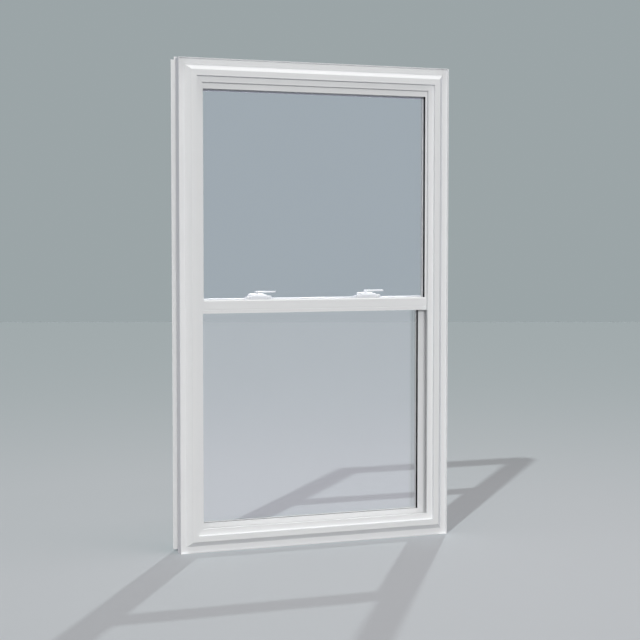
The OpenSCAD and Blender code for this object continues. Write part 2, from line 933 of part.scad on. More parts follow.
module keeper(x) {
    mouth = keeper_d - keeper_web;
    color(CAST) translate([x, keeper_mid_y, keeper_z]) difference() {
        union() {
            for (side = [-1, 1])
                translate([side * keeper_screw_x, 0, 0]) lobe(lobe_l, keeper_d, lobe_h, 2.4);
            rotate([90, 0, 90]) translate([0, 0, -hood_l / 2]) linear_extrude(hood_l) polygon([
                [-keeper_d / 2, 0],
                [keeper_d / 2, 0],
                [keeper_d / 2, hood_h],
                [hood_slope - keeper_d / 2, hood_h],
                [-keeper_d / 2, hood_h - hood_slope]
            ]);
        }
        difference() {
            span(-cavity_l / 2, cavity_l / 2, keeper_d / 2 - mouth, keeper_d, 1.6, hood_h - 2);
            span(-catch_l / 2, catch_l / 2, keeper_d / 2 - catch_t - 0.2, keeper_d / 2 - 0.2, 0, catch_h);
        }
        for (side = [-1, 1])
            translate([side * keeper_screw_x, 0, -1]) cylinder(r = screw_r + 0.1, h = lobe_h + 2);
        for (side = [-1, 1])
            translate([side * keeper_screw_x, 0, lobe_h - screw_head_h - screw_recess])
                cylinder(r = screw_head_r + 0.1, h = lobe_h);
    }
}

module keeper_fixing_holes(x) {
    for (side = [-1, 1])
        translate([x + side * keeper_screw_x, keeper_mid_y, keeper_z - check_rail_h / 4])
            cylinder(r = screw_r, h = check_rail_h);
}

module wood_screw(length) {
    translate([0, 0, -length]) cylinder(r = screw_r, h = length);
    difference() {
        cylinder(r = screw_head_r, h = screw_head_h);
        for (turn = [0, 90])
            rotate([0, 0, turn]) translate([-screw_head_r / 2, -0.4, screw_head_h - 1])
                cube([screw_head_r, 0.8, 2]);
    }
}

module keeper_screws() {
    z = keeper_z + lobe_h - screw_head_h - screw_recess;
    color(STEEL) for (x = lock_places(), side = [-1, 1])
        translate([x + side * keeper_screw_x, keeper_mid_y, z]) wood_screw(screw_l);
}

case_mid_y = lower_y + case_front + case_d / 2;
case_screw_x = ear_l / 2 - 5.5;

module stadium(length, width, height) {
    run = (length - width) / 2;
    for (x = [-run, run])
        translate([x, 0, 0]) cylinder(d = width, h = height);
    translate([-run, -width / 2, 0]) cube([2 * run, width, height]);
}

module lock_case(x) {
    spindle_dy = spindle_y - case_mid_y;
    swing = cam_reach + 1;
    color(CAST) translate([x, case_mid_y, lower_top_z]) difference() {
        union() {
            lobe(case_l, case_d, case_h, 3);
            stadium(ear_l, ear_w, ear_t);
        }
        translate([0, 0, -1])
            stadium(case_l - 2 * case_wall, case_d - 2 * case_wall, case_h - case_top_t + 1);
        span(-swing, cam_w, -case_d, 0, -1, cam_z + cam_t + 0.8);
        translate([0, spindle_dy, 0]) cylinder(r = spindle_r + spindle_clear, h = case_h + 1);
        for (side = [-1, 1])
            translate([side * case_screw_x, 0, -1]) cylinder(r = screw_r + 0.1, h = ear_t + 2);
    }
}

module case_fixing_holes(x) {
    for (side = [-1, 1])
        translate([x + side * case_screw_x, case_mid_y, lower_top_z - check_rail_h / 4])
            cylinder(r = screw_r, h = check_rail_h);
}

module lock_screws() {
    color(STEEL) for (x = lock_places(), side = [-1, 1])
        translate([x + side * case_screw_x, case_mid_y, lower_top_z + ear_t]) wood_screw(screw_l / 2);
}

// Spindle and cam: the arm points indoors while the lock is open, and its tooth drops behind the
// keeper's catch once the lever has swung half a turn
module lock_cam(x) {
    r_in = cam_reach - tooth_t;
    color(STEEL) translate([x, spindle_y, lower_top_z]) union() {
        translate([0, 0, cam_z]) cylinder(r = spindle_r, h = case_h + collar_gap - cam_z);
        translate([0, 0, cam_z]) cylinder(r = neck_r, h = lever_z + lever_t - lower_top_z - cam_z);
        translate([0, 0, cam_z]) cylinder(r = cam_w / 2 + 1.5, h = cam_t);
        intersection() {
            span(-cam_w / 2, cam_w / 2, 0, cam_reach, cam_z, cam_z + cam_t);
            translate([0, 0, cam_z]) cylinder(r = cam_reach, h = cam_t);
        }
        intersection() {
            span(-cam_w / 2, cam_w / 2, 0, cam_reach, cam_z - tooth_drop, cam_z + cam_t);
            translate([0, 0, cam_z - tooth_drop]) difference() {
                cylinder(r = cam_reach, h = cam_t + tooth_drop);
                translate([0, 0, -1]) cylinder(r = r_in, h = cam_t + tooth_drop + 2);
            }
        }
    }
}

module lock_lever(x) {
    tip_r = 4;
    color(CAST) translate([x, spindle_y, lever_z]) difference() {
        union() {
            cylinder(r = lever_hub_r, h = lever_t);
            translate([0, 0, -collar_h]) cylinder(r = lever_hub_r - 2, h = collar_h);
            translate([lever_l - tip_r, 0, 0]) cylinder(r = tip_r, h = lever_t);
            linear_extrude(lever_t) polygon([
                [0, -lever_hub_r + 0.6],
                [lever_l - tip_r, -tip_r],
                [lever_l - tip_r, tip_r],
                [0, lever_hub_r - 0.6]
            ]);
        }
        translate([0, 0, -collar_h - 1])
            cylinder(r = neck_r + neck_clear, h = lever_t + collar_h + 2);
    }
}

/* ---- one line for each node ---- */

frame_head();
frame_sill();
frame_jamb(false);  // frame_jamb_left
frame_jamb(true);  // frame_jamb_right
nailing_fins();
head_stop();
pile_outer_side(false);  // pile_outer_left
pile_outer_side(true);  // pile_outer_right
pile_outer_head();
pile_inner_side(false);  // pile_inner_left
pile_inner_side(true);  // pile_inner_right
balance_tube(false, upper_w, upper_y, outer_floor, upper_tube_bottom(), upper_tube_top());  // upper_balance_tube_left
balance_tube(true, upper_w, upper_y, outer_floor, upper_tube_bottom(), upper_tube_top());  // upper_balance_tube_right
balance_tube(false, lower_w, lower_y, inner_floor, lower_tube_bottom(), lower_tube_top());  // lower_balance_tube_left
balance_tube(true, lower_w, lower_y, inner_floor, lower_tube_bottom(), lower_tube_top());  // lower_balance_tube_right
balance_screws();
sash_stile(UPPER, false);  // upper_stile_left
sash_stile(UPPER, true);  // upper_stile_right
upper_top_rail();
upper_check_rail();
pane(UPPER, false);  // upper_pane_outer
pane(UPPER, true);  // upper_pane_inner
spacer(UPPER);  // upper_spacer
glazing_bead(UPPER, "top");  // upper_bead_top
upper_side_bead(false);  // upper_bead_left
upper_side_bead(true);  // upper_bead_right
setting_blocks(UPPER);  // upper_setting_blocks
keeper(-lock_spread / 2);  // keeper_left
keeper(lock_spread / 2);  // keeper_right
keeper_screws();
balance_rod(false, upper_w, upper_y, upper_bottom_z);  // upper_balance_rod_left
balance_rod(true, upper_w, upper_y, upper_bottom_z);  // upper_balance_rod_right
rod_bracket(false, upper_w, upper_y, upper_bottom_z);  // upper_rod_bracket_left
rod_bracket(true, upper_w, upper_y, upper_bottom_z);  // upper_rod_bracket_right
sash_stile(LOWER, false);  // lower_stile_left
sash_stile(LOWER, true);  // lower_stile_right
lower_check_rail();
lower_bottom_rail();
pane(LOWER, false);  // lower_pane_outer
pane(LOWER, true);  // lower_pane_inner
spacer(LOWER);  // lower_spacer
glazing_bead(LOWER, "top");  // lower_bead_top
glazing_bead(LOWER, "bottom");  // lower_bead_bottom
glazing_bead(LOWER, "left");  // lower_bead_left
glazing_bead(LOWER, "right");  // lower_bead_right
setting_blocks(LOWER);  // lower_setting_blocks
check_rail_pile();
bottom_seal();
lock_case(-lock_spread / 2);  // lock_case_left
lock_case(lock_spread / 2);  // lock_case_right
lock_screws();
balance_rod(false, lower_w, lower_y, lower_bottom_z);  // lower_balance_rod_left
balance_rod(true, lower_w, lower_y, lower_bottom_z);  // lower_balance_rod_right
rod_bracket(false, lower_w, lower_y, lower_bottom_z);  // lower_rod_bracket_left
rod_bracket(true, lower_w, lower_y, lower_bottom_z);  // lower_rod_bracket_right
lock_cam(-lock_spread / 2);  // lock_cam_left
lock_cam(lock_spread / 2);  // lock_cam_right
lock_lever(-lock_spread / 2);  // lock_lever_left
lock_lever(lock_spread / 2);  // lock_lever_right
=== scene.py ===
"""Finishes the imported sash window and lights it: vinyl, glass, pile, balance rods, stage and camera."""

import logging
import math
from dataclasses import dataclass, field
from enum import Enum

import bmesh
import bpy
from mathutils import Matrix, Vector


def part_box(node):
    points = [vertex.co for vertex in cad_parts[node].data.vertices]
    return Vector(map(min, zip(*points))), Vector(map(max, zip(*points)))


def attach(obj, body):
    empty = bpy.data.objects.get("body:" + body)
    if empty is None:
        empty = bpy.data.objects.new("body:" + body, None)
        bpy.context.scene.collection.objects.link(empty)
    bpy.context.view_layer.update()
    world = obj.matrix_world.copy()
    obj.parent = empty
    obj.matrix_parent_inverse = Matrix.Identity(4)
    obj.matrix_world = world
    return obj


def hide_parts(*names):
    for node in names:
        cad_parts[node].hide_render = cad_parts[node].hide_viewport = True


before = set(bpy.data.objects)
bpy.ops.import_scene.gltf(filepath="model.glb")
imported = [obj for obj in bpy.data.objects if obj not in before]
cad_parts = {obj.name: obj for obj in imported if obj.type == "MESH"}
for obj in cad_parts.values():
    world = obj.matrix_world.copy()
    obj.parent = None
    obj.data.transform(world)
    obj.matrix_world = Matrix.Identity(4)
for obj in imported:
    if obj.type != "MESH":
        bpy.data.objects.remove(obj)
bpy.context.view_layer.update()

MM = 0.001
SENSOR = 36.0
CLIP_NEAR, CLIP_FAR = 0.05, 200.0
LAMP_REACH = 6.0
GLOSSY_BOUNCE = 0.5
EXTRUDED_ROUND, CAST_ROUND = 0.35 * MM, 0.6 * MM
LOG = logging.getLogger("sash_window")

Colour = tuple[float, float, float]
Corner = tuple[float, float, float]


class Run(Enum):
    """The row axis that an extruded member, strip or rod runs along."""

    ALONG_X = 0
    ALONG_Z = 2


class Side(Enum):
    """The two sides of the window, seen from outdoors."""

    LEFT = "left"
    RIGHT = "right"


class Face(Enum):
    """The way that a weatherstrip's bristles point."""

    INDOORS = 1.0
    OUTDOORS = -1.0


# ---------------------------------------------------------------- node trees


@dataclass
class Tree:
    """A node tree under construction, with short calls for its nodes and links.

    Args:
        tree: The node tree that the calls add to.
    """

    tree: bpy.types.NodeTree

    def add(self, kind: str, values: dict | None = None, **settings) -> bpy.types.Node:
        """Adds one node.

        Args:
            kind: The node's type name.
            values: Input socket name or index to a value, or to the output socket that feeds it.
            settings: Properties set on the node before its inputs.

        Returns:
            The new node.
        """
        node = self.tree.nodes.new(kind)
        for name, value in settings.items():
            setattr(node, name, value)
        for socket, value in (values or {}).items():
            if isinstance(value, bpy.types.NodeSocket):
                self.tree.links.new(value, node.inputs[socket])
            else:
                node.inputs[socket].default_value = value
        return node

    def math(
        self,
        operation: str,
        first: bpy.types.NodeSocket | float,
        second: bpy.types.NodeSocket | float = 0.0,
    ) -> bpy.types.NodeSocket:
        """Adds a Math node and returns its output."""
        kind = "ShaderNodeMath"
        return self.add(kind, {0: first, 1: second}, operation=operation).outputs[0]

    def declare(self, inputs: dict[str, tuple], outputs: dict[str, str]) -> tuple:
        """Makes the tree's named sockets.

        Args:
            inputs: Socket name to its type and, where it has one, its default value.
            outputs: Socket name to its type.

        Returns:
            The group's input node and output node.
        """
        for name, (kind, *default) in inputs.items():
            made = self.tree.interface.new_socket(name=name, in_out="INPUT", socket_type=kind)
            if default:
                made.default_value = default[0]
        for name, kind in outputs.items():
            self.tree.interface.new_socket(name=name, in_out="OUTPUT", socket_type=kind)
        return self.add("NodeGroupInput"), self.add("NodeGroupOutput")


FLOAT, VECTOR, COLOUR = "NodeSocketFloat", "NodeSocketVector", "NodeSocketColor"
GEOMETRY, MATERIAL, INTEGER = "NodeSocketGeometry", "NodeSocketMaterial", "NodeSocketInt"


@dataclass
class ShaderGroups:
    """The effects that several finishes share, each built once."""

    tone: bpy.types.NodeTree = field(init=False)
    draw_lines: bpy.types.NodeTree = field(init=False)
    orange_peel: bpy.types.NodeTree = field(init=False)

    def __post_init__(self) -> None:
        """Builds the three groups."""
        self.tone = self._tone()
        self.draw_lines = self._draw_lines()
        self.orange_peel = self._orange_peel()

    def _tone(self) -> bpy.types.NodeTree:
        """Builds slow changes of colour and roughness over a surface.

        Returns:
            A group with the inputs Vector, Colour, Shade, Scale, Roughness and Spread, and the
            outputs Colour and Roughness.
        """
        group = Tree(bpy.data.node_groups.new("surface_tone", "ShaderNodeTree"))
        sockets = {
            "Vector": (VECTOR,),
            "Colour": (COLOUR, (0.8, 0.8, 0.8, 1.0)),
            "Shade": (COLOUR, (0.7, 0.7, 0.7, 1.0)),
            "Scale": (FLOAT, 8.0),
            "Roughness": (FLOAT, 0.4),
            "Spread": (FLOAT, 0.05),
        }
        into, out = group.declare(sockets, {"Colour": COLOUR, "Roughness": FLOAT})
        spots = {"Vector": into.outputs["Vector"], "Scale": into.outputs["Scale"], "Detail": 4.0}
        noise = group.add("ShaderNodeTexNoise", spots).outputs["Fac"]
        steep = group.add("ShaderNodeMapRange", {0: noise, 1: 0.3, 2: 0.7}).outputs[0]
        mix = group.add("ShaderNodeMix", {0: steep}, data_type="RGBA")
        group.tree.links.new(into.outputs["Colour"], mix.inputs[6])
        group.tree.links.new(into.outputs["Shade"], mix.inputs[7])
        swing = group.math("MULTIPLY", group.math("SUBTRACT", noise, 0.5), into.outputs["Spread"])
        rough = group.math("ADD", into.outputs["Roughness"], swing)
        group.tree.links.new(mix.outputs[2], out.inputs["Colour"])
        group.tree.links.new(rough, out.inputs["Roughness"])
        return group.tree

    def _draw_lines(self) -> bpy.types.NodeTree:
        """Builds the fine lines that an extrusion die or a drawing die leaves along a member.

        Returns:
            A group with the inputs Vector, Stretch and Depth, and the output Height.
        """
        group = Tree(bpy.data.node_groups.new("draw_lines", "ShaderNodeTree"))
        sockets = {
            "Vector": (VECTOR,),
            "Stretch": (VECTOR, (1.0, 1.0, 1.0)),
            "Depth": (FLOAT, 0.2),
        }
        into, out = group.declare(sockets, {"Height": FLOAT})
        along = {0: into.outputs["Vector"], 1: into.outputs["Stretch"]}
        long = group.add("ShaderNodeVectorMath", along, operation="MULTIPLY").outputs[0]
        coarse = group.add("ShaderNodeTexNoise", {"Vector": long, "Scale": 260.0, "Detail": 3.0})
        fine = group.add("ShaderNodeTexNoise", {"Vector": long, "Scale": 1400.0, "Detail": 2.0})
        both = group.math("ADD", coarse.outputs["Fac"], fine.outputs["Fac"])
        deep = group.math("MULTIPLY", both, into.outputs["Depth"])
        group.tree.links.new(deep, out.inputs["Height"])
        return group.tree

    def _orange_peel(self) -> bpy.types.NodeTree:
        """Builds the soft dimples of a powder coat or a moulded skin.

        Returns:
            A group with the inputs Vector, Scale and Depth, and the output Height.
        """
        group = Tree(bpy.data.node_groups.new("orange_peel", "ShaderNodeTree"))
        sockets = {"Vector": (VECTOR,), "Scale": (FLOAT, 900.0), "Depth": (FLOAT, 0.3)}
        into, out = group.declare(sockets, {"Height": FLOAT})
        cells = {"Vector": into.outputs["Vector"], "Scale": into.outputs["Scale"]}
        bumps = group.add("ShaderNodeTexVoronoi", cells, feature="SMOOTH_F1").outputs["Distance"]
        deep = group.math("MULTIPLY", bumps, into.outputs["Depth"])
        group.tree.links.new(deep, out.inputs["Height"])
        return group.tree


# ---------------------------------------------------------------- finishes


@dataclass(frozen=True)
class Finish:
    """What every finish has in common.

    Args:
        name: The material's name.
        slot: The record's material slot; not used.
        colour: Main colour.
        shade: Second colour of the slow tone changes.
        roughness: Middle roughness.
        spread: How far the roughness swings.
        scale: Size of the tone changes.
        metallic: 1 for bare metal.
        coat: Weight of the clear coat.
        specular: Strength of the mirror part, 0.5 for an ordinary skin.
    """

    name: str
    slot: str
    colour: Colour
    shade: Colour
    roughness: float
    spread: float = 0.06
    scale: float = 9.0
    metallic: float = 0.0
    coat: float = 0.0
    specular: float = 0.5

    def height(
        self, tree: Tree, groups: ShaderGroups, place: bpy.types.NodeSocket
    ) -> tuple[bpy.types.NodeSocket, float] | None:
        """Returns the relief's height socket and its distance in metres, or None for a smooth skin."""
        return None

    def build(self, groups: ShaderGroups) -> bpy.types.Material:
        """Builds the material.

        Args:
            groups: The shared effects.

        Returns:
            The finished material.
        """
        material = bpy.data.materials.new(self.name)
        material.use_nodes = True
        material.node_tree.nodes.clear()
        tree = Tree(material.node_tree)
        place = tree.add("ShaderNodeTexCoord").outputs["Object"]
        tone_values = {
            "Vector": place,
            "Colour": (*self.colour, 1.0),
            "Shade": (*self.shade, 1.0),
            "Scale": self.scale,
            "Roughness": self.roughness,
            "Spread": self.spread,
        }
        tone = place_group(tree, groups.tone, tone_values)
        skin = tree.add("ShaderNodeBsdfPrincipled", {
            "Base Color": tone.outputs["Colour"],
            "Roughness": tone.outputs["Roughness"],
            "Metallic": self.metallic,
            "Coat Weight": self.coat,
            "Specular IOR Level": self.specular,
        })
        relief = self.height(tree, groups, place)
        if relief is not None:
            bump = tree.add("ShaderNodeBump", {"Height": relief[0], "Distance": relief[1]})
            tree.tree.links.new(bump.outputs["Normal"], skin.inputs["Normal"])
        tree.add("ShaderNodeOutputMaterial", {"Surface": skin.outputs["BSDF"]})
        return material


def place_group(tree: Tree, group: bpy.types.NodeTree, values: dict) -> bpy.types.Node:
    """Places a node group in a material.

    Args:
        tree: The material's tree.
        group: The group to place.
        values: Input names to values or to the sockets that feed them.

    Returns:
        The group's node.
    """
    node = tree.add("ShaderNodeGroup", node_tree=group)
    for name, value in values.items():
        if isinstance(value, bpy.types.NodeSocket):
            tree.tree.links.new(value, node.inputs[name])
        else:
            node.inputs[name].default_value = value
    return node


@dataclass(frozen=True)
class ExtrudedFinish(Finish):
    """Vinyl or metal pulled through a die, with fine lines along the member.

    Args:
        run: The axis that the member runs along.
        depth: Depth of the lines, in millimetres.
    """

    run: Run = Run.ALONG_Z
    depth: float = 0.02

    def height(
        self, tree: Tree, groups: ShaderGroups, place: bpy.types.NodeSocket
    ) -> tuple[bpy.types.NodeSocket, float]:
        """Returns the height of the lines along the member and their depth in metres.

        Args:
            tree: The material's tree.
            groups: The shared shader groups.
            place: Socket of the object coordinates.

        Returns:
            The height's socket, and the depth of the lines in metres.
        """
        stretch = [1.0, 1.0, 1.0]
        stretch[self.run.value] = 0.004
        values = {"Vector": place, "Stretch": stretch, "Depth": 1.0}
        return place_group(tree, groups.draw_lines, values).outputs["Height"], self.depth * MM


@dataclass(frozen=True)
class PeelFinish(Finish):
    """A powder coat, moulding or rubber skin with small soft dimples.

    Args:
        grain: Dimples per metre, roughly.
        depth: Depth of the dimples, in millimetres.
    """

    grain: float = 900.0
    depth: float = 0.05

    def height(
        self, tree: Tree, groups: ShaderGroups, place: bpy.types.NodeSocket
    ) -> tuple[bpy.types.NodeSocket, float]:
        """Returns the height of the dimples and their depth in metres."""
        values = {"Vector": place, "Scale": self.grain, "Depth": 1.0}
        return place_group(tree, groups.orange_peel, values).outputs["Height"], self.depth * MM


@dataclass(frozen=True)
class GlassFinish:
    """Clear float glass with a faint coating.

    Args:
        name: The material's name.
        slot: The record's material slot; not used.
        tint: Colour that the light takes on through one pane.
        index: Refractive index; a coated pane mirrors more, and one with a soft outer film less.
        haze: Largest roughness of the faint film left by washing.
    """

    name: str
    slot: str
    tint: Colour
    index: float
    haze: float = 0.012

    def build(self, groups: ShaderGroups) -> bpy.types.Material:
        """Builds the glass, which lets light through to what stands behind it.

        Args:
            groups: The shared effects.

        Returns:
            The finished material.
        """
        material = bpy.data.materials.new(self.name)
        material.use_nodes = True
        material.node_tree.nodes.clear()
        tree = Tree(material.node_tree)
        place = tree.add("ShaderNodeTexCoord").outputs["Object"]
        tone = place_group(tree, groups.tone, {
            "Vector": place,
            "Colour": (*self.tint, 1.0),
            "Shade": (*(0.995 * c for c in self.tint), 1.0),
            "Scale": 3.0,
            "Roughness": self.haze / 2,
            "Spread": self.haze,
        })
        glass = tree.add("ShaderNodeBsdfPrincipled", {
            "Base Color": tone.outputs["Colour"],
            "Roughness": 0.0,
            "Metallic": 0.0,
            "IOR": self.index,
            "Transmission Weight": 1.0,
        })
        clear = tree.add("ShaderNodeBsdfTransparent", {"Color": (*(c**0.5 for c in self.tint), 1.0)})
        path = tree.add("ShaderNodeLightPath").outputs
        passing = tree.math("MAXIMUM", path["Is Shadow Ray"], path["Is Diffuse Ray"])
        mix = tree.add("ShaderNodeMixShader", {0: passing, 1: glass.outputs[0], 2: clear.outputs[0]})
        tree.add("ShaderNodeOutputMaterial", {"Surface": mix.outputs[0]})
        return material


VINYL_COLOUR = (0.86, 0.865, 0.865)
VINYL_SHADE = (0.845, 0.85, 0.852)

FINISHES = {
    "vinyl_upright": ExtrudedFinish(
        "vinyl_upright", "vinyl", VINYL_COLOUR, VINYL_SHADE, 0.42, specular=0.2, run=Run.ALONG_Z
    ),
    "vinyl_level": ExtrudedFinish(
        "vinyl_level", "vinyl", VINYL_COLOUR, VINYL_SHADE, 0.42, specular=0.2, run=Run.ALONG_X
    ),
    "glass_outer": GlassFinish("outer_glass", "glass", (0.995, 0.998, 0.998), 1.2),
    "glass_inner": GlassFinish("coated_glass", "glass", (0.995, 0.998, 0.998), 1.65),
    "spacer": PeelFinish(
        "spacer_black", "spacer", (0.008, 0.008, 0.009), (0.012, 0.012, 0.013), 0.6, specular=0.0
    ),
    "pile": PeelFinish("woven_pile", "pile", (0.36, 0.36, 0.37), (0.24, 0.24, 0.25), 0.95, scale=700.0),
    "rubber": PeelFinish("black_rubber", "rubber", (0.02, 0.02, 0.021), (0.03, 0.03, 0.031), 0.62),
    "cast": PeelFinish(
        "white_powder_coat", "cast", (0.95, 0.95, 0.95), (0.93, 0.932, 0.935), 0.3, coat=0.2
    ),
    "steel": PeelFinish(
        "zinc_plate", "steel", (0.6, 0.6, 0.61), (0.5, 0.5, 0.52), 0.34,
        metallic=1.0, scale=120.0, depth=0.01,
    ),
    "tube": ExtrudedFinish(
        "drawn_tube", "tube", (0.7, 0.71, 0.72), (0.64, 0.65, 0.67), 0.3, metallic=1.0, run=Run.ALONG_Z
    ),
    "nylon": PeelFinish("white_nylon", "nylon", (0.78, 0.78, 0.75), (0.74, 0.74, 0.71), 0.45),
}


@dataclass
class Finishes:
    """Every finish of the window, built once and handed to the pieces.

    Args:
        groups: The shared effects.
    """

    groups: ShaderGroups
    made: dict[str, bpy.types.Material] = field(default_factory=dict)

    def get(self, name: str) -> bpy.types.Material:
        """Returns a finish's material, building it at the first call."""
        if name not in self.made:
            self.made[name] = FINISHES[name].build(self.groups)
        return self.made[name]

    def dress(self, node: str, name: str) -> None:
        """Gives a CAD node one finish in all its slots."""
        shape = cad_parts[node]
        shape.data.materials.clear()
        shape.data.materials.append(self.get(name))


# ---------------------------------------------------------------- pieces made from a CAD node


@dataclass
class SoftEdges:
    """Copies hard-edged CAD nodes and rounds their edges a little, as moulded and cast pieces are.

    Args:
        radius: Radius of the rounding, in metres.
        sharpest: Edges that turn less than this stay as they are, in degrees.
        segments: Faces across a rounded edge.
    """

    radius: float
    sharpest: float = 30.0
    segments: int = 2

    def round(self, node: str, body: str, finish: str, finishes: Finishes) -> bpy.types.Object:
        """Makes the rounded copy that stands for a CAD node.

        Args:
            node: The CAD node.
            body: The CAD body that it rides on.
            finish: Name of its finish.
            finishes: The window's finishes.

        Returns:
            The new piece.
        """
        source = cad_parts[node]
        shape = source.data.copy()
        shape.name = f"{node}_rounded"
        work = bmesh.new()
        work.from_mesh(shape)
        bmesh.ops.remove_doubles(work, verts=work.verts, dist=2e-6)
        bmesh.ops.dissolve_limit(
            work, angle_limit=math.radians(0.5), verts=work.verts, edges=work.edges, delimit=set()
        )
        work.to_mesh(shape)
        work.free()
        piece = bpy.data.objects.new(f"{node}_rounded", shape)
        bpy.context.scene.collection.objects.link(piece)
        shape.materials.clear()
        shape.materials.append(finishes.get(finish))
        bevel = piece.modifiers.new("rounding", "BEVEL")
        bevel.width = self.radius
        bevel.segments = self.segments
        bevel.limit_method = "ANGLE"
        bevel.angle_limit = math.radians(self.sharpest)
        bevel.use_clamp_overlap = True
        bevel.harden_normals = True
        made = bake_modifiers(piece, f"{node}_rounded")
        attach(made, body)
        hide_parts(node)
        return made


def bake_modifiers(piece: bpy.types.Object, name: str) -> bpy.types.Object:
    """Turns an object's evaluated shape into a plain mesh object and drops the old one.

    Args:
        piece: The object with its modifiers.
        name: Name of the finished object.

    Returns:
        The plain object, with no modifier.
    """
    graph = bpy.context.evaluated_depsgraph_get()
    mesh = bpy.data.meshes.new_from_object(piece.evaluated_get(graph))
    materials = [slot.material for slot in piece.material_slots]
    old = piece.data
    bpy.data.objects.remove(piece)
    if old.users == 0 and isinstance(old, bpy.types.Mesh):
        bpy.data.meshes.remove(old)
    made = bpy.data.objects.new(name, mesh)
    mesh.name = name
    if not mesh.materials:
        for material in materials:
            mesh.materials.append(material)
    bpy.context.scene.collection.objects.link(made)
    return made


# ---------------------------------------------------------------- weatherstrips


